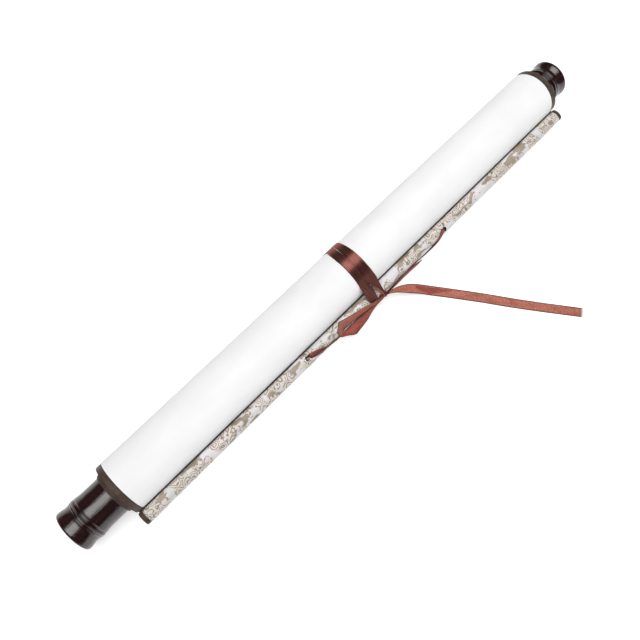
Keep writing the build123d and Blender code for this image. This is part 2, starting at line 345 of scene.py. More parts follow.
def brocade():
    """Silver-white silk with a woven pattern: curling double lines over taupe
    leaves that run along the stave."""
    cloth = Finish("brocade", 0.5, Sheen_Weight=0.2, Specular_IOR_Level=0.6)
    where = cloth.place()
    drift = cloth.noise(where, 150, 2, 0.5, output=1)
    centred = cloth.add("VectorMath", {0: drift, 1: (0.5, 0.5, 0.5)}, operation="SUBTRACT")
    shift = cloth.add("VectorMath", {0: centred, "Scale": 0.006}, operation="SCALE")
    warped = cloth.add("VectorMath", {0: where, 1: shift}, operation="ADD")

    cells = cloth.add("TexVoronoi", {"Vector": warped, "Scale": 150.0, "Randomness": 0.85})
    middle = cells.node.outputs["Position"]
    arm = cloth.add("VectorMath", {0: warped, 1: middle}, operation="SUBTRACT")
    arm = cloth.add("SeparateXYZ", {"Vector": arm})
    up = cloth.minus(arm.node.outputs["Z"], arm.node.outputs["Y"])
    angle = cloth.sums("ARCTAN2", up, arm.node.outputs["X"])
    turns = cloth.plus(cloth.times(cells, 27.0), angle)
    lines = cloth.ramp(cloth.sums("SINE", turns), (0.45, BLACK), (0.8, WHITE))
    pick = cloth.add("SeparateColor", {"Color": cells.node.outputs["Color"]})
    chosen = cloth.ramp(pick, (0.3, BLACK), (0.32, WHITE))

    long_leaves = cloth.place(scale=(0.45, 1.3, 1.3), turn=(0.4, 0.25, 0.35))
    leaf_drift = cloth.add("VectorMath", {0: long_leaves, 1: shift}, operation="ADD")
    leaf_noise = cloth.noise(leaf_drift, 150, 1.5)
    leaves = cloth.ramp(leaf_noise, (0.61, BLACK), (0.63, WHITE))
    rims = cloth.ramp(leaf_noise, (0.58, BLACK), (0.6, WHITE), (0.62, WHITE), (0.64, BLACK))

    tint = cloth.noise(where, 55, 2)
    ground = cloth.ramp(tint, (0.35, rgb(202, 202, 199)), (0.65, rgb(218, 214, 218)))
    fill = cloth.ramp(tint, (0.4, rgb(204, 197, 187)), (0.6, rgb(214, 204, 199)))
    line_tint = cloth.ramp(tint, (0.4, rgb(120, 109, 88)), (0.6, rgb(138, 122, 110)))
    leaf_tint = cloth.ramp(tint, (0.4, rgb(134, 122, 97)), (0.6, rgb(158, 143, 126)))
    drawn = cloth.mix(chosen, ground, cloth.mix(lines, fill, line_tint))
    figured = cloth.mix(leaves, drawn, leaf_tint)
    outlined = cloth.mix(cloth.times(rims, 0.6), figured, rgb(128, 114, 96))
    weave = cloth.add("TexWave", {"Vector": cloth.place(turn=(0, 0, 0.8)), "Scale": 1500.0})
    raised = cloth.bump(lines, 0.25, 0.0002)
    # painted shade in the gap next to the roll
    return cloth.finish(
        painted_crevice_shade(cloth, outlined, 1.6 * MM), cloth.bump(weave, 0.2, 0.00005, raised)
    )


silk_finish, brocade_finish = edging_silk(), brocade()
print("made edging silk and brocade")


# %% Give the CAD parts their finish
for node, finish in (
    ("paper_roll", paper_finish),
    ("silk_edge_left", silk_finish),
    ("silk_edge_right", silk_finish),
    ("roller_dowel", wood_finish),
    ("knob_left", lacquer_finish),
    ("knob_right", lacquer_finish),
    ("top_stave", stave_finish),
    ("stave_brocade", brocade_finish),
):
    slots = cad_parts[node].data.materials
    slots.clear()
    slots.append(finish)
    print(node, "is", finish.name)

# %% [markdown]
# ## Rolled silk at both ends
# Each long side of a mounted scroll has a narrow border of silk. Rolled up, the border
# shows at the ends as one dark strip wound round and round, never quite even. Geometry
# Nodes wind it: a flat grid is bent into a spiral, each turn is moved a little by a
# noise with a fixed seed, the inner turns slide along the roller, and the roll's own
# weight flattens it where it lies on the table.

# %% Helper for Geometry Nodes trees
class Rule(NodeTree):
    """A Geometry Nodes tree built one call at a time, and the values of its inputs."""
    prefix = "GeometryNode"

    def __init__(self, name):
        self.tree = bpy.data.node_groups.new(name, "GeometryNodeTree")
        sockets = self.tree.interface
        sockets.new_socket("Geometry", in_out="INPUT", socket_type="NodeSocketGeometry")
        sockets.new_socket("Geometry", in_out="OUTPUT", socket_type="NodeSocketGeometry")
        self.inside = self.tree.nodes.new("NodeGroupInput")
        self.values = {}

    def vector(self, x=0.0, y=0.0, z=0.0):
        """Three numbers or sockets as one vector."""
        return self.add("ShaderNodeCombineXYZ", {"X": x, "Y": y, "Z": z})

    def ask(self, name, value, kind="Float"):
        """A named input with its value; returns the socket that carries it."""
        sockets = self.tree.interface
        made = sockets.new_socket(name, in_out="INPUT", socket_type="NodeSocket" + kind)
        self.values[made.identifier] = value
        return self.inside.outputs[name]

    def grow(self, name, shape, finish):
        """Realize the shape, give it its finish and return it as a plain mesh object."""
        real = self.add("RealizeInstances", {"Geometry": shape})
        dressed = self.add("SetMaterial", {"Geometry": real, "Material": finish})
        self.join(dressed, self.tree.nodes.new("NodeGroupOutput").inputs[0])
        made = bpy.data.objects.new(name, bpy.data.meshes.new(name))
        scene.collection.objects.link(made)
        modifier = made.modifiers.new("rule", "NODES")
        modifier.node_group = self.tree
        for identifier, value in self.values.items():
            modifier[identifier] = value
        graph = bpy.context.evaluated_depsgraph_get()
        mesh = bpy.data.meshes.new_from_object(made.evaluated_get(graph))
        made.modifiers.remove(modifier)
        made.data = mesh
        print(name, len(mesh.polygons), "faces")
        return made


# %% One wound edge
SILK_MARGIN = 4.8 * MM
TURNS = 18
STEPS_PER_TURN = 56
SILK_THICKNESS = 0.27 * MM
FLATTENED = 0.9  # how much of a turn's depth is kept where the roll lies on the table
WANDER_PER_TURN = 1.3
SLIDE_BLEND = 0.5 * MM
WELD = 0.002 * MM
SHARP_BEND = 0.7  # radians


def wound_edge(name, side):
    """The silk border at one end of the roll; side is -1 or 1."""
    rule = Rule(name)
    inner = rule.ask("Inner radius", 15.35 * MM)
    outer = rule.ask("Outer radius", ROLL_RADIUS - SILK_THICKNESS)
    turns = rule.ask("Turns", float(TURNS))
    width = rule.ask("Width", SILK_MARGIN)
    thickness = rule.ask("Thickness", SILK_THICKNESS)
    slide = rule.ask("Slide of the inner turns", -side * 3.1 * MM)
    slide_radius = rule.ask("Slide radius", 16.7 * MM)
    uneven = rule.ask("Unevenness", 0.9 * MM)
    seed = rule.ask("Seed", 4.0)
    axis = rule.ask("Axis height", AXIS_Z)
    start = rule.ask("Paper end", PAPER_END)

    long = TURNS * STEPS_PER_TURN + 1
    size = {"Size X": 1.0, "Size Y": 1.0, "Vertices X": long, "Vertices Y": 4}
    grid = rule.add("MeshGrid", size)
    position = rule.add("InputPosition", {})
    flat = rule.add("ShaderNodeSeparateXYZ", {0: position})
    along = rule.plus(flat, 0.5)
    across = rule.plus(flat.node.outputs["Y"], 0.5)

    turned = rule.times(along, turns)
    angle = rule.plus(rule.times(turned, 2 * math.pi), math.pi)
    radius = rule.plus(inner, rule.times(rule.minus(outer, inner), along))
    y = rule.times(radius, rule.sums("COSINE", angle))
    z = rule.plus(axis, rule.times(radius, rule.sums("SINE", angle)))
    above = rule.times(rule.minus(outer, radius), FLATTENED)
    z = rule.sums("MAXIMUM", z, rule.plus(above, thickness))

    phase = rule.plus(rule.times(turned, WANDER_PER_TURN), seed)
    wander = rule.add("ShaderNodeTexNoise", {"W": phase, "Scale": 1.0}, noise_dimensions="1D")
    wander = rule.times(rule.minus(wander, 0.5), uneven)
    band = {
        "Value": radius, "From Min": rule.minus(slide_radius, SLIDE_BLEND),
        "From Max": slide_radius, "To Min": 1.0, "To Max": 0.0,
    }
    slid = rule.add("ShaderNodeMapRange", band, interpolation_type="SMOOTHSTEP")
    reach = rule.plus(width, rule.times(slide, slid))
    reach = rule.times(across, rule.plus(reach, wander))
    x = rule.times(rule.plus(start, reach), float(side))

    place = rule.vector(x, y, z)
    sheet = rule.add("SetPosition", {"Geometry": grid, "Position": place})
    if side < 0:
        sheet = rule.add("FlipFaces", {0: sheet})
    grown = {"Mesh": sheet, "Offset Scale": thickness, "Individual": False}
    raised = rule.add("ExtrudeMesh", grown)
    back = rule.add("FlipFaces", {0: sheet})
    both = rule.add("JoinGeometry", {0: [back, raised]})
    closed = rule.add("MergeByDistance", {"Geometry": both, "Distance": WELD})
    soft = rule.add("SetShadeSmooth", {0: closed, "Shade Smooth": True})
    bend = rule.add("InputMeshEdgeAngle", {})
    bent = rule.sums("GREATER_THAN", bend, SHARP_BEND)
    sharp = {0: soft, "Selection": bent, "Shade Smooth": False}
    shape = rule.add("SetShadeSmooth", sharp, domain="EDGE")
    return rule.grow(name, shape, silk_finish)


# %% [markdown]
# ## Ribbon cloth
# One satin ribbon, 8 mm wide and smooth on one side only. The face is woven from long
# floats that run along it, so it throws one bright bar across its width wherever it
# bends towards a light: that is what the anisotropic gloss does. The back is dull, and
# shows the thread colour with a fine speckle. It has three tones: the tail's, a darker
# copy for the band and the loop, and a redder copy for cloth in its own shade; the
# darker and the redder copy are painted shade. Both sides read the ribbon's own UV map,
# where U is the distance from its middle and V the distance along it, in metres.

# %% Satin, face and back
RIBBON_WIDTH = 8.0 * MM
RIBBON_THICKNESS = 0.3 * MM


def selvedge(cloth, colour, dark, start):
    """Darken the two woven edges of the ribbon, from a share of its half width on."""
    reach = cloth.sums("ABSOLUTE", cloth.parts("UV")["X"])
    share = cloth.sums("DIVIDE", reach, RIBBON_WIDTH / 2)
    edge = cloth.ramp(share, (start, BLACK), (start + 0.08, WHITE))
    return cloth.mix(edge, colour, dark)


def satin_face():
    """The glossy side: dark chocolate red with a rosy bar where it faces a light."""
    satin = Finish(
        "satin_face", 0.42, Metallic=0.8, Anisotropic=0.8,
        Specular_Tint=(1.0, 0.68, 0.62, 1.0),
    )
    floats = satin.noise(satin.place("UV", (1900, 70, 1)), 1.0, 3, 0.6)
    tone = satin.ramp(floats, (0.35, rgb(90, 50, 45)), (0.65, rgb(134, 84, 77)))
    edged = selvedge(satin, tone, rgb(88, 47, 42), 0.9)
    tangent = satin.add("Tangent", {}, direction_type="UV_MAP", uv_map="ribbon")
    satin.join(tangent, satin.shader.inputs["Tangent"])
    return satin.finish(edged, satin.bump(floats, 0.25, 0.00004))


def satin_back(name, low, high, patch):
    """The dull side: terracotta, speckled by the threads that tie the floats down."""
    satin = Finish(name, 0.62, Sheen_Weight=0.2, Sheen_Tint=(1.0, 0.75, 0.65, 1.0))
    speckle = satin.noise(satin.place("UV", (950, 750, 1)), 1.0, 4, 0.7)
    clouds = satin.noise(satin.place("UV", (260, 90, 1)), 1.0, 3)
    tone = satin.ramp(speckle, (0.3, rgb(*low)), (0.7, rgb(*high)))
    worn = satin.mix(satin.ramp(clouds, (0.45, BLACK), (0.8, WHITE)), tone, rgb(*patch))
    edged = selvedge(satin, worn, rgb(50, 28, 25), 0.79)
    return satin.finish(edged, satin.bump(speckle, 0.35, 0.00005))


face_finish = satin_face()
back_finish = satin_back("satin_back", (120, 50, 35), (216, 130, 104), (142, 64, 46))
# a darker copy of the dull side, for the band and the loop: painted shade
mid_shade_back_finish = satin_back("satin_back_mid_painted_shade", (100, 44, 31), (172, 98, 76), (112, 50, 36))
# a redder copy of the dull side, for cloth in its own shade: painted shade
red_shade_back_finish = satin_back("satin_back_red_painted_shade", (106, 36, 23), (174, 76, 54), (98, 32, 22))
print("made satin: face and back")


# %% [markdown]
# ## Cloth from rows
# A ribbon is a grid: rows of points across it, one after another along it. Its
# thickness is added by moving each point along the surface's normal, and the two sides
# are joined at the rim, so that every ribbon is a closed skin. A smooth curve through a
# few given rows gives the rows between them.

# %% Grids, normals and closed skins
def smooth(points, steps):
    """Points on a smooth curve through the given ones, or rows through given rows."""
    points = np.asarray(points, float)
    first, last = 2 * points[0] - points[1], 2 * points[-1] - points[-2]
    points = np.concatenate([[first], points, [last]])
    found = []
    for a, b, c, d in zip(points, points[1:], points[2:], points[3:]):
        for t in np.arange(steps) / steps:
            square, cube = t * t, t**3
            bend = (2 * a - 5 * b + 4 * c - d) * square + (3 * b - a - 3 * c + d) * cube
            found.append(b + 0.5 * ((c - a) * t + bend))
    return np.array(found + [points[-2]])


def unit(vectors):
    """The same vectors with length one."""
    return vectors / np.maximum(np.linalg.norm(vectors, axis=-1, keepdims=True), 1e-12)


def normals_of(rows):
    """Normal at each point of a grid of points."""
    along = np.gradient(rows, axis=0)
    across = np.gradient(rows, axis=1)
    return unit(np.cross(across, along))


def length_along(points):
    """Distance from the first point to each point."""
    steps = np.linalg.norm(np.diff(points, axis=0), axis=1)
    return np.concatenate([[0.0], np.cumsum(steps)])


def between_rings(first, second, around):
    """Faces between two rings, each given by the number of its first point."""
    return [
        (first + j, first + (j + 1) % around, second + (j + 1) % around, second + j)
        for j in range(around)
    ]


def read_table(table, steps, places):
    """A table's later columns, read off smoothly at places in its first column."""
    table = smooth(table, steps)
    return [np.interp(places, table[:, 0], column) for column in table.T[1:]]


def ribbon(name, rows, side=1, back=None):
    """Closed skin of a ribbon on a grid; side is 1 if its glossy face is on top, or -1,
    and back is the finish of its dull side, if that isn't the usual one."""
    rows = np.asarray(rows, float)
    count, wide = rows.shape[:2]
    under = rows - normals_of(rows) * RIBBON_THICKNESS
    points = np.concatenate([rows.reshape(-1, 3), under.reshape(-1, 3)])
    distance = length_along(rows[:, wide // 2])
    place = np.linspace(-RIBBON_WIDTH / 2, RIBBON_WIDTH / 2, wide)
    uv = [(u, v) for v in distance for u in place] * 2
    shift = count * wide
    faces, sides = [], []
    for i in range(count - 1):
        for j in range(wide - 1):
            a, b = i * wide + j, (i + 1) * wide + j
            faces.append((a, a + 1, b + 1, b))
            faces.append((a + shift, b + shift, b + 1 + shift, a + 1 + shift))
            sides += [0, 1] if side > 0 else [1, 0]
    rim = [i * wide for i in range(count)]
    rim += [(count - 1) * wide + j for j in range(1, wide)]
    rim += [i * wide + wide - 1 for i in range(count - 2, -1, -1)]
    rim += list(range(wide - 2, 0, -1))
    for a, b in zip(rim, rim[1:] + rim[:1]):
        faces.append((a, b, b + shift, a + shift))
        sides.append(1)
    return skin(name, points, faces, uv, sides, (face_finish, back or back_finish))


def smooth_mesh(name, points, faces, finishes):
    """Mesh with smooth faces and its finishes."""
    mesh = bpy.data.meshes.new(name)
    mesh.from_pydata([tuple(p) for p in points], [], faces)
    for finish in finishes:
        mesh.materials.append(finish)
    mesh.polygons.foreach_set("use_smooth", [True] * len(faces))
    return mesh


def linked(name, mesh):
    """Put a mesh in the scene as an object."""
    made = bpy.data.objects.new(name, mesh)
    scene.collection.objects.link(made)
    print(name, len(mesh.polygons), "faces")
    return made


def skin(name, points, faces, uv, sides, finishes):
    """Mesh object with smooth faces, a UV map in metres and a finish for each face."""
    mesh = smooth_mesh(name, points, faces, finishes)
    layer = mesh.uv_layers.new(name="ribbon")
    flat = [uv[loop.vertex_index] for loop in mesh.loops]
    layer.data.foreach_set("uv", np.array(flat, np.float32).ravel())
    mesh.polygons.foreach_set("material_index", sides)
    mesh.validate()
    return linked(name, mesh)


# %% [markdown]
# ## Where the ribbon lies
# The ribbon is pulled tight, so round the roll and the stave it takes the shape of a
# string pulled round both: the convex hull of the two sections. The frame gives the
# sizes of both, and the hull is worked out from them.

# %% The tight outline round roll and stave
roll_low, roll_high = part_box("paper_roll")
stave_low, stave_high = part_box("top_stave")
ROLL_RADIUS = (roll_high.y - roll_low.y) / 2
AXIS_Z = roll_high.z - ROLL_RADIUS
STAVE_Y = (stave_low.y + stave_high.y) / 2
STAVE_Z = (stave_low.z + stave_high.z) / 2
STAVE_DEPTH = 10.2 * MM
STAVE_HEIGHT = 7.2 * MM
TILT = math.atan2(AXIS_Z - STAVE_Z, -STAVE_Y)
BEDDED = 0.45 * MM  # how far above the table the ribbon's inside passes under the roll
print("roll radius", round(ROLL_RADIUS, 5), "stave at", round(STAVE_Y, 5), round(STAVE_Z, 5))


def ring(centre, wide, high, turn, count=720):
    """Points of an ellipse in the (y, z) plane."""
    angle = np.linspace(0, 2 * math.pi, count, endpoint=False)
    y, z = wide * np.cos(angle), high * np.sin(angle)
    spun_y = centre[0] + y * math.cos(turn) - z * math.sin(turn)
    spun_z = centre[1] + y * math.sin(turn) + z * math.cos(turn)
    return np.stack([spun_y, spun_z], 1)


def hull():
    """Tight outline round roll and stave, upwards from the stave's outer edge, as closely
    spaced (y, z) points."""
    circle = ring((0, AXIS_Z), ROLL_RADIUS, ROLL_RADIUS, 0)
    oval = ring((STAVE_Y, STAVE_Z), STAVE_DEPTH / 2, STAVE_HEIGHT / 2, TILT)
    points = np.concatenate([circle, oval])
    order = convex_hull_2d([tuple(p) for p in points])[::-1]
    outline = points[order]
    outline = np.roll(outline, -int(np.argmin(outline[:, 0])), axis=0)
    outline = np.concatenate([outline, outline[:1]])
    outline[:, 1] = np.maximum(outline[:, 1], BEDDED)
    return outline


def hull_places(shares):
    """Points (y, z) on the outline at shares of a turn, and the way out from each."""
    outline = hull()
    distance = length_along(outline)
    outwards = unit(np.gradient(outline, axis=0) @ np.array([[0.0, 1.0], [-1.0, 0.0]]))
    wrapped = np.mod(shares, 1.0) * distance[-1]
    place = [np.interp(wrapped, distance, column) for column in outline.T]
    way = [np.interp(wrapped, distance, column) for column in outwards.T]
    return np.stack(place, 1), unit(np.stack(way, 1))


print("once round roll and stave:", round(float(length_along(hull())[-1]), 4), "m")


# %% [markdown]
# ## Wound edges and stave ends
# With the frame's sizes at hand the silk can be wound. The same silk also covers the
# last few millimetres of the stave, folded over its end like a parcel, and a short
# piece of it crosses from the roll to the stave.

# %% Wind both edges
for name, side in (("silk_edge_left", -1), ("silk_edge_right", 1)):
    edge = wound_edge("wound_" + name, side)
    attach(edge, "root")
    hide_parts(name)

# %% Stave ends
COVER_START = 225.2 * MM
STRIP_WIDTH = 3.0 * MM
STRIP_THICKNESS = 1.1 * MM
STRIP_OUT = 0.25 * MM  # from the roll to the strip's middle
STRIP_DOWN = 1.4 * MM
CAP_SECTIONS = (
    # distance from the open end (mm), how far inside the stave's outline (mm)
    (0, 0.5), (3, 0.5), (3, 4), (3.5, 4), (3.5, 0.9), (3.3, 0.35),
    (2.9, 0.08), (1.6, -0.03), (0.5, -0.03), (0.15, 0), (0, 0.2),
)
END_WALL = 2  # the section whose ring is the inside of the end wall


def stave_cap(name, side, around=64):
    """The silk folded over one end of the stave, and the strip between it and the roll."""
    rings = []
    for far, inside in CAP_SECTIONS:
        wide = STAVE_DEPTH / 2 - inside * MM
        high = max(STAVE_HEIGHT / 2 - inside * MM, 0.05 * MM)
        outline = ring((STAVE_Y, STAVE_Z), wide, high, TILT, around)
        x = np.full((around, 1), side * (COVER_START + far * MM))
        rings.append(np.concatenate([x, outline], 1))
    points = np.concatenate(rings)
    faces = []
    count = len(rings)
    for i in range(count):
        if i != END_WALL:  # its middle is closed with two round faces, inside and outside
            faces += between_rings(i * around, (i + 1) % count * around, around)
    inside = range(END_WALL * around, (END_WALL + 1) * around)
    outside = range((END_WALL + 1) * around, (END_WALL + 2) * around)
    faces += [tuple(inside)[::-1], tuple(outside)]

    out = np.array([-math.cos(TILT), -math.sin(TILT)])
    down = np.array([math.sin(TILT), -math.cos(TILT)])
    centre = np.array([0, AXIS_Z]) + out * (ROLL_RADIUS + STRIP_OUT) + down * STRIP_DOWN
    first = len(points)
    corners = []
    for x in (PAPER_END, PAPER_END + SILK_MARGIN):
        for u, v in ((-1, -1), (1, -1), (1, 1), (-1, 1)):
            corner = centre + out * u * STRIP_WIDTH / 2 + down * v * STRIP_THICKNESS / 2
            corners.append((side * x, *corner))
    box = [(0, 1, 2, 3), (4, 7, 6, 5), (0, 4, 5, 1), (1, 5, 6, 2), (2, 6, 7, 3), (3, 7, 4, 0)]
    faces += [tuple(first + k for k in f) for f in box]
    return plain_skin(name, np.concatenate([points, corners]), faces, silk_finish)


def plain_skin(name, points, faces, finish):
    """Mesh object of one finish, its normals turned outwards."""
    mesh = smooth_mesh(name, points, faces, (finish,))
    work = bmesh.new()
    work.from_mesh(mesh)
    bmesh.ops.recalc_face_normals(work, faces=work.faces)
    work.to_mesh(mesh)
    work.free()
    mesh.set_sharp_from_angle(angle=0.8)
    return linked(name, mesh)


for name, side in (("stave_cap_left", -1), ("stave_cap_right", 1)):
    cap = stave_cap(name, side)
    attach(cap, "root")

# %% [markdown]
# ## The tied band
# The ribbon is one long strip. It starts in the knot, goes up over the roll and round
# underneath, moves over by its own width, goes round again, and comes back to the knot
# from below. Each row across it is placed by how far round it is. A short table says
# where its middle is, how wide it lies, and how far it is pleated and folded over.

# %% The two turns
BAND_PLACES = (
    # share of a turn, left edge and right edge (mm), lift (mm), pleats (mm), folded share
    (0, 5.4, 7.5, 1, 0.35, 0.42),
    (0.015, 5, 7.4, 0.8, 0.25, 0.42),
    (0.037, 3.7, 7.5, 0.7, 0.12, 0.38),
    (0.07, 2.2, 7.7, 0.62, 0.04, 0.26),
    (0.10, 0.9, 7.8, 0.62, 0, 0.12),
    (0.13, -0.4, 7.8, 0.62, 0, 0.02),
    (0.165, -1, 7.3, 0.62, 0, 0),
    (0.21, -1.3, 6.6, 0.62, 0, 0),
    (0.26, -1.3, 6.3, 0.62, 0, 0),
    (0.30, -1.2, 6.2, 0.6, 0, 0),
    (0.34, -0.95, 6.1, 0.55, 0, 0),
    (0.39, -0.02, 6.1, 0.45, 0, 0),
    (0.45, 1.45, 6.5, 0.45, 0, 0),
    (0.52, 1, 7.4, 0.42, 0, 0),
    (0.62, -1, 6.8, 0.42, 0, 0),
    (0.80, -1.1, 6.6, 0.42, 0, 0),
    (0.88, -4, 3.8, 0.42, 0, 0),
    (0.95, -7.2, 0.5, 0.42, 0, 0),
    (1, -7, 0.4, 0.45, 0, 0),
    (1.03, -7.3, 0.6, 0.45, 0, 0),
    (1.07, -7.9, 0.7, 0.42, 0, 0),
    (1.10, -8.1, 0.2, 0.42, 0, 0),
    (1.13, -8.1, -0.3, 0.42, 0, 0),
    (1.165, -8.1, -0.8, 0.42, 0, 0),
    (1.21, -8.3, -1.1, 0.42, 0, 0),
    (1.26, -8.4, -1.1, 0.42, 0, 0),
    (1.30, -8.3, -1.05, 0.42, 0, 0),
    (1.34, -8.2, -1.1, 0.42, 0, 0),
    (1.39, -7.4, -0.5, 0.42, 0, 0),
    (1.45, -5.9, 0.9, 0.42, 0, 0),
    (1.55, -7, 0.3, 0.42, 0, 0),
    (1.70, -8.3, -1.3, 0.42, 0, 0),
    (1.82, -8.2, -1.2, 0.42, 0, 0),
    (1.90, -4.8, 1.6, 0.6, 0.1, 0),
    (1.95, -2.6, 5, 0.85, 0.1, 0),
    (1.98, 0.2, 7, 0.95, 0.15, 0),
    (2, 1.6, 7.6, 1.1, 0.2, 0),
    (2.02, 2.6, 8.4, 1.25, 0.25, 0),
)
PLEATS = 3
FLAP_HEIGHT = 0.45  # how far (mm) a folded edge stands above the cloth under it
FLAP_RISE = 10  # how steeply it gets there
FLOOR_GAP = 0.1 * MM


def tied_band(rows_round, wide):
    """The strip of both turns, as rows of points."""
    share = np.linspace(0, BAND_PLACES[-1][0], 2 * rows_round + 1)
    left, right, lift, pleat, folded = read_table(BAND_PLACES, 12, share)
    inner, way = hull_places(share)
    across = np.linspace(0, 1, wide)
    rows = []
    for i in range(len(share)):
        crease = max(folded[i], 0.0)
        over = np.maximum(crease - across, 0)
        place = (across + 2 * over - crease) / (1 - crease)
        flap = np.minimum(over * FLAP_RISE, 1) * FLAP_HEIGHT
        wave = pleat[i] * np.cos(across * math.pi * 2 * PLEATS)
        height = (lift[i] + flap + wave) * MM
        x = (left[i] + place * (right[i] - left[i])) * MM
        y = inner[i, 0] + way[i, 0] * height
        z = np.maximum(inner[i, 1] + way[i, 1] * height, FLOOR_GAP)
        rows.append(np.stack([x, y, z], 1))
    return np.array(rows)


# the band's dull side has the darker copy: painted shade
band = ribbon("tie_band", tied_band(150, 25), 1, mid_shade_back_finish)
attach(band, "root")
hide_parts("tie_ribbon")

# %% [markdown]
# ## The loop
# The bow has one loop. It has been pressed flat, so the ribbon leaves the knot, turns
# back on itself at the far end with two creases, and returns beside its first half. A
# dark slit stays open between the halves. The rows run from the slit to the outside.

# %% The flattened loop
LOOP_ROWS = (
    # inner edge and outer edge of each row, in millimetres
    ((8.6, -33.1, 14.8), (8.4, -32.6, 15.2)),
    ((2, -33.1, 15.6), (1.8, -32.5, 16.2)),
    ((-5, -32.8, 16.9), (-4, -31.6, 17.8)),
    ((-13, -32.3, 18), (-11, -29.8, 19.2)),
    ((-20, -31.8, 18.6), (-17, -28.3, 19.8)),
    ((-26, -31.3, 19), (-23.1, -27, 20.1)),
    ((-31.5, -30.9, 19.2), (-29, -25.7, 20.4)),
    ((-35.3, -30.6, 19.2), (-35.3, -24, 20.4)),
    ((-36.6, -30.6, 19.1), (-38, -25.8, 20.1)),
    ((-37, -30.8, 19), (-41.5, -28.3, 19.7)),
    ((-37, -31.1, 18.9), (-42.1, -30.2, 19.2)),
    ((-36.8, -31.5, 18.7), (-42.4, -32.8, 18.5)),
    ((-36.2, -31.4, 18.4), (-37.8, -35.5, 17.5)),
    ((-34, -31.4, 18), (-32.4, -38.9, 16.7)),
    ((-30, -31.35, 17.6), (-27.6, -38.6, 16.4)),
    ((-22, -31.4, 16.8), (-18, -37.3, 16)),
    ((-14, -31.7, 16), (-11.8, -35.6, 15.6)),
    ((-5, -32.5, 15.2), (-5.2, -34.3, 15.2)),
    ((3, -32.9, 14.7), (3, -33.9, 14.6)),
    ((8.6, -33.3, 14.4), (8.6, -33.7, 14.2)),
)


def across_rows(edges, wide, steps, crown=0.0):
    """Rows of points between two edges, raised in the middle by the crown."""
    edges = smooth(np.array(edges) * MM, steps)
    share = np.linspace(0, 1, wide)[None, :, None]
    rows = edges[:, :1] * (1 - share) + edges[:, 1:] * share
    rows[:, :, 2] += crown * 4 * share[:, :, 0] * (1 - share[:, :, 0])
    return rows


def paint_red_shade(cloth, chosen):
    """Give the redder dull finish, painted shade, to the faces whose place on the ribbon is
    chosen.
    """
    cloth.data.materials.append(red_shade_back_finish)
    layer = cloth.data.uv_layers["ribbon"].data
    for polygon in cloth.data.polygons:
        across, along = layer[polygon.loop_start].uv
        if polygon.material_index == 1 and chosen(across, along):
            polygon.material_index = 2


TURNING_ROW = 11  # the row at the far end, where the ribbon turns back
# the loop's dull side has the darker copy, and its returning half the redder one: both painted
# shade
loop = ribbon("bow_loop", across_rows(LOOP_ROWS, 11, 8, 0.5 * MM), -1, mid_shade_back_finish)
loop_middle = np.array(LOOP_ROWS).mean(1) * MM
turning = length_along(loop_middle)[TURNING_ROW]
paint_red_shade(loop, lambda across, along: along > turning)
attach(loop, "root")

# %% [markdown]
# ## The short end
# The ribbon's other end is short. It stands on its edge beside the stave, so from above
# only a thin dark strip of it shows, cut off on the slant. Its darkness is painted shade:
# the redder dull finish all over.

# %% The short end
SHORT_END_ROWS = (
    # lower edge and upper edge
    ((9, -32.4, 13), (9, -31.7, 15)),
    ((12.5, -32.3, 11.6), (12.5, -31.6, 15.8)),
    ((17, -32.2, 9.8), (17, -31.6, 16.3)),
    ((24, -32.1, 9), (24, -31.5, 16.5)),
    ((31, -32, 8.8), (31, -31.6, 16.3)),
    ((38, -32.2, 8.8), (38, -32, 16)),
    ((43, -32.6, 9.4), (43, -32.4, 15.8)),
    ((46, -33, 11.6), (45.2, -32.8, 15.4)),
    ((48.6, -33.3, 14), (47.6, -33.1, 15.1)),
)
# painted shade: the redder dull finish all over
short_end = ribbon("short_end", across_rows(SHORT_END_ROWS, 7, 8), -1, red_shade_back_finish)
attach(short_end, "root")

# %% [markdown]
# ## Free ends as cords
# A cord's middle line is a smooth curve that stays near the points chosen for its
# route. Blender can work that curve out: a NURBS spline of order three. Its points are
# read back from a curve with no thickness, and the ribbon's rows are laid along them.

# %% Routes and the rows along them
KNOT = (9.0, -32.7, 14.3)
TAIL_POINTS = (
    KNOT,
    (15.9, -34.2, 10.7),
    (21.9, -37.4, 8.5),
    (28.4, -42.2, 5.6),
    (34.6, -47.8, 2.9),
    (40.6, -55.0, 0.8),
    (46.2, -62.2, 0.3),
    (53.6, -72.6, 0.3),
    (64.3, -87.6, 0.3),
    (76.5, -105.8, 0.3),
    (89.6, -124.2, 0.3),
    (99.2, -137.2, 0.3),
    (108.3, -149.6, 0.3),
)
LEFT_HANGING_POINTS = (
    (-71.3, -26.5, 16.8),
    (-70.1, -27.0, 20.4),
    (-62.0, -29.6, 19.4),
    (-52.0, -32.2, 16.8),
    (-36.0, -32.9, 14.9),
    (-14.0, -33.0, 14.5),
    KNOT,
)
RIGHT_HANGING_POINTS = (
    KNOT,
    (20.0, -31.9, 12.6),
    (33.0, -30.8, 10.4),
    (46.0, -31.2, 10.5),
    (58.0, -32.7, 11.9),
    (68.0, -33.2, 14.8),
    (75.2, -31.2, 18.4),
    (78.6, -28.9, 19.6),
    (79.2, -28.4, 15.8),
)
ROUTE_STEPS = 12


def route(points):
    """Closely spaced points of the smooth curve that follows a route, in metres."""
    curve = bpy.data.curves.new("route", "CURVE")
    curve.dimensions = "3D"
    curve.resolution_u = ROUTE_STEPS
    spline = curve.splines.new("NURBS")
    spline.points.add(len(points) - 1)
    for point, place in zip(spline.points, points):
        point.co = (*(Vector(place) * MM), 1.0)
    spline.order_u = 3
    spline.use_endpoint_u = True
    holder = bpy.data.objects.new("route", curve)
    scene.collection.objects.link(holder)
    graph = bpy.context.evaluated_depsgraph_get()
    line = bpy.data.meshes.new_from_object(holder.evaluated_get(graph))
    found = np.array([tuple(v.co) for v in line.vertices])
    bpy.data.objects.remove(holder)
    bpy.data.meshes.remove(line)
    return found


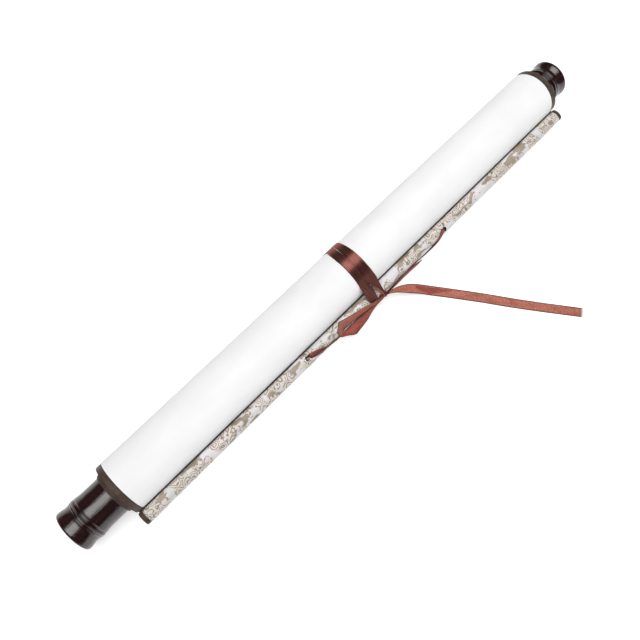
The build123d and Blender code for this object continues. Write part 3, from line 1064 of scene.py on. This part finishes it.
def along_route(path, table, wide):
    """Rows along a path. The table's rows say, by distance in millimetres: half width,
    turn about the path in degrees, pleat depth, how far it is folded lengthwise, and how
    far it lies to the side of the path."""
    distance = length_along(path) / MM
    half, turn, pleat, fold, aside = read_table(table, 8, distance)
    ahead = unit(np.gradient(path, axis=0))
    level = unit(np.cross(ahead, (0.0, 0.0, 1.0)))
    above = np.cross(level, ahead)
    share = np.linspace(-1, 1, wide)
    rows = []
    for i, middle in enumerate(path):
        angle = math.radians(turn[i])
        side = level[i] * math.cos(angle) + above[i] * math.sin(angle)
        high = above[i] * math.cos(angle) - level[i] * math.sin(angle)
        height = pleat[i] * np.cos(share * math.pi * PLEATS) - fold[i] * np.abs(share)
        rows.append(
            middle + level[i] * aside[i] * MM
            + side * (share * half[i] * MM)[:, None] + high * (height * MM)[:, None]
        )
    return np.array(rows)


# %% The long tail
tail_path = route(TAIL_POINTS)
TAIL_TABLE = (
    (0, 1, 10, 0.5, 0.2, 0),
    (4, 1.3, 8, 0.45, 0.4, 0),
    (9, 2.1, 4, 0.3, 0.6, 0),
    (14, 3, 2, 0.15, 0.5, 0),
    (20, 3.7, 0, 0.05, 0.2, 0),
    (28, 4, 0, 0, 0, 0),
    (90, 4, 0, 0, 0, 0),
    (120, 3.9, 0, 0, 0, 0),
    (160, 3.8, 0, 0, 0, 0),
)
FOLD_START, FOLD_END = 27 * MM, 56 * MM
FOLD_FAR_EDGE = 0.72  # as a share of the half width
FOLD_NEAR_EDGE = ((0, 0.4, 1), (0.1, -0.8, 0.7))  # the same, at shares of its length


def in_painted_fold_shade(across, along):
    """The long triangle of the tail that gets the redder finish as painted shade, standing for a
    place where the ribbon turns over a little.
    """
    share = (along - FOLD_START) / (FOLD_END - FOLD_START)
    near_edge = np.interp(share, *FOLD_NEAR_EDGE)
    return 0 < share < 1 and near_edge < -across / (RIBBON_WIDTH / 2) < FOLD_FAR_EDGE


tail_rows = along_route(tail_path, TAIL_TABLE, 13)
tail = ribbon("ribbon_tail_cloth", tail_rows, side=-1)
# painted shade on a long triangle of the tail
paint_red_shade(tail, in_painted_fold_shade)
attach(tail, "root")
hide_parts("ribbon_tail")
print("tail", round(float(length_along(tail_path)[-1]), 4), "m")

# %% The two stretches of the hanging ribbon
left_path = route(LEFT_HANGING_POINTS)
right_path = route(RIGHT_HANGING_POINTS)
LEFT_TABLE = (
    (0, 1.3, -30, 0.2, 0.3, 0),
    (4, 2.1, -35, 0, 0.6, 0),
    (11, 2.2, -40, 0, 0.7, 0),
    (16, 1.6, -55, 0, 0.5, 0),
    (22, 0.9, -75, 0.1, 0.3, -0.6),
    (60, 0.8, -85, 0.1, 0.3, -0.9),
    (90, 0.8, -60, 0.2, 0.3, 0),
)
RIGHT_TABLE = (
    (0, 0.9, 60, 0.2, 0.3, 0),
    (20, 1.2, 80, 0.1, 0.3, -0.3),
    (40, 1.6, 75, 0.1, 0.4, -1),
    (55, 2, 60, 0, 0.7, -2),
    (66, 2.3, 40, 0, 0.8, -2.2),
    (74, 2, 30, 0, 0.6, -1.4),
    (84, 1.4, 20, 0.2, 0.3, -0.6),
)
hanging = ribbon("hanging_left", along_route(left_path, LEFT_TABLE, 9), side=1)
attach(hanging, "root")
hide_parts("hanging_ribbon")
hanging_far = ribbon("hanging_right", along_route(right_path, RIGHT_TABLE, 9), side=1)
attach(hanging_far, "root")
print("hanging", [round(float(length_along(p)[-1]), 4) for p in (left_path, right_path)], "m")


# %% [markdown]
# ## The knot
# Where all the strands meet there is one small hard overhand knot. Its centre line is
# a formula, and the gathered ribbon that follows it is a tube with pleats along it.

# %% Overhand knot
KNOT_MIDDLE = (7.6, -32.7, 14.7)
TAPER_RINGS = 3  # how many rings it takes to close each end
TAPER_LEAST = 0.04
KNOT_OPENING = 0.12


def tube(name, path, radius, squash, pleats, depth, around=20):
    """Closed pleated tube along a path, flatter one way than the other."""
    ahead = unit(np.gradient(path, axis=0))
    side = unit(np.cross(ahead, (0.2, 0.3, 1.0)))
    up = np.cross(side, ahead)
    angle = np.linspace(0, 2 * math.pi, around, endpoint=False)
    reach = radius * (1 + depth * np.cos(angle * pleats))
    ends = np.minimum(np.arange(len(path)), np.arange(len(path))[::-1]) / TAPER_RINGS
    shrink = np.sqrt(np.clip(ends, TAPER_LEAST, 1))
    rings = (
        path[:, None]
        + side[:, None] * (reach * np.cos(angle))[None, :, None] * shrink[:, None, None]
        + up[:, None] * (reach * np.sin(angle) * squash)[None, :, None] * shrink[:, None, None]
    )
    count = len(path)
    faces = []
    for i in range(count - 1):
        faces += between_rings(i * around, (i + 1) * around, around)
    last = (count - 1) * around
    faces += [tuple(range(around))[::-1], tuple(range(last, last + around))]
    distance = length_along(path)
    uv = [(RIBBON_WIDTH * 0.4 * math.sin(a), d) for d in distance for a in angle]
    return skin(name, rings.reshape(-1, 3), faces, uv, [0] * len(faces), (face_finish,))


def knot_line(size, count=90):
    """An overhand knot: a trefoil, opened at one place."""
    t = np.linspace(KNOT_OPENING, 2 * math.pi - KNOT_OPENING, count)
    x = np.sin(t) + 2 * np.sin(2 * t)
    y = np.cos(t) - 2 * np.cos(2 * t)
    z = -np.sin(3 * t)
    shape = np.stack([x / 6, z / 2, y / 6], 1)
    return (np.array(KNOT_MIDDLE) + shape * size) * MM


knot = tube("knot", knot_line((4.2, 2.0, 3.6)), 0.62 * MM, 0.8, 4, 0.1)
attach(knot, "root")

# %% [markdown]
# ## Frayed threads
# Cut ribbon frays: its pale weft threads stand out beyond the cut. The holes that the
# hanging ribbon goes through have a few white threads of the brocade round them too.
# Geometry Nodes scatter copies of one curved thread along a line, each turned and
# scaled at random with a fixed seed.

# %% Thread finish and the scatter
def thread_finish(name, colour):
    """Dull, slightly fuzzy silk thread."""
    silk = Finish(name, 0.75, Sheen_Weight=0.3)
    fuzz = silk.noise(silk.place(), 3000, 2)
    dark = tuple(0.75 * c for c in colour[:3]) + (1.0,)
    return silk.finish(silk.ramp(fuzz, (0.3, dark), (0.7, colour)))


def frayed(name, ends, heading, count, length, spread, seed, finish):
    """Threads that start along the line between two ends and point the way of heading."""
    rule = Rule(name)
    number = rule.ask("Threads", count, "Int")
    reach = rule.ask("Length", length)
    radius = rule.ask("Thread radius", 0.11 * MM)
    wild = rule.ask("Spread", spread)
    dice = rule.ask("Seed", seed, "Int")
    turn = rule.ask("Heading", heading)

    line = {"Count": number, "Start Location": tuple(ends[0]), "Offset": tuple(ends[1])}
    spots = rule.add("MeshLine", line, mode="END_POINTS")
    bow = rule.vector(rule.times(reach, 0.5), rule.times(reach, 0.18))
    tip = rule.vector(reach, z=rule.times(reach, 0.08))
    curve = {"Resolution": 6, "Start": (0, 0, 0), "Middle": bow, "End": tip}
    line_of_thread = rule.add("CurveQuadraticBezier", curve)
    round_ = rule.add("CurvePrimitiveCircle", {"Resolution": 5, "Radius": radius})
    solid = {"Curve": line_of_thread, "Profile Curve": round_, "Fill Caps": True}
    thread = rule.add("CurveToMesh", solid)

    low = rule.times(wild, -1.0)
    least = rule.vector(-1.5, rule.times(low, 0.4), low)
    most = rule.vector(1.5, rule.times(wild, 0.2), wild)
    shake = {"Min": least, "Max": most, "Seed": dice}
    shake = rule.add("FunctionNodeRandomValue", shake, data_type="FLOAT_VECTOR")
    facing = rule.vector(z=turn)
    rotation = rule.add("ShaderNodeVectorMath", {0: shake, 1: facing}, operation="ADD")
    size = rule.add("FunctionNodeRandomValue", {"Seed": dice}, 1, data_type="FLOAT")
    size = rule.plus(rule.times(size, 0.7), 0.35)
    copies = {"Points": spots, "Instance": thread, "Rotation": rotation, "Scale": size}
    shape = rule.add("InstanceOnPoints", copies)
    return rule.grow(name, shape, finish)


# %% Threads at the tail's end and at both holes
CUT_BACK = 1.1 * MM  # the threads start this far inside the cut, and a little above it
CUT_UP = 0.25 * MM
pale_thread = thread_finish("weft_thread", rgb(232, 196, 178))
white_thread = thread_finish("brocade_thread", rgb(240, 236, 228))
ahead = tail_path[-1] - tail_path[-2]
inward = np.array((0, 0, CUT_UP)) - unit(ahead) * CUT_BACK
cut = (tail_rows[-1, 0] + inward, tail_rows[-1, -1] + inward)
tail_heading = math.atan2(ahead[1], ahead[0])
HOLE_LEFT = np.array((-71.3, -26.6, 18.9)) * MM
HOLE_RIGHT = np.array((79.2, -26.6, 18.9)) * MM
step = np.array((1.5, -0.4, -0.1)) * MM
left, right = (HOLE_LEFT - step, HOLE_LEFT + step), (HOLE_RIGHT - step, HOLE_RIGHT + step)
for fray in (
    frayed("tail_fray", cut, tail_heading, 60, 1.9 * MM, 0.3, 3, pale_thread),
    frayed("hole_fray_left", left, -1.6, 9, 1.8 * MM, 0.9, 5, white_thread),
    frayed("hole_fray_right", right, -1.6, 7, 1.5 * MM, 0.9, 8, white_thread),
):
    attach(fray, "root")
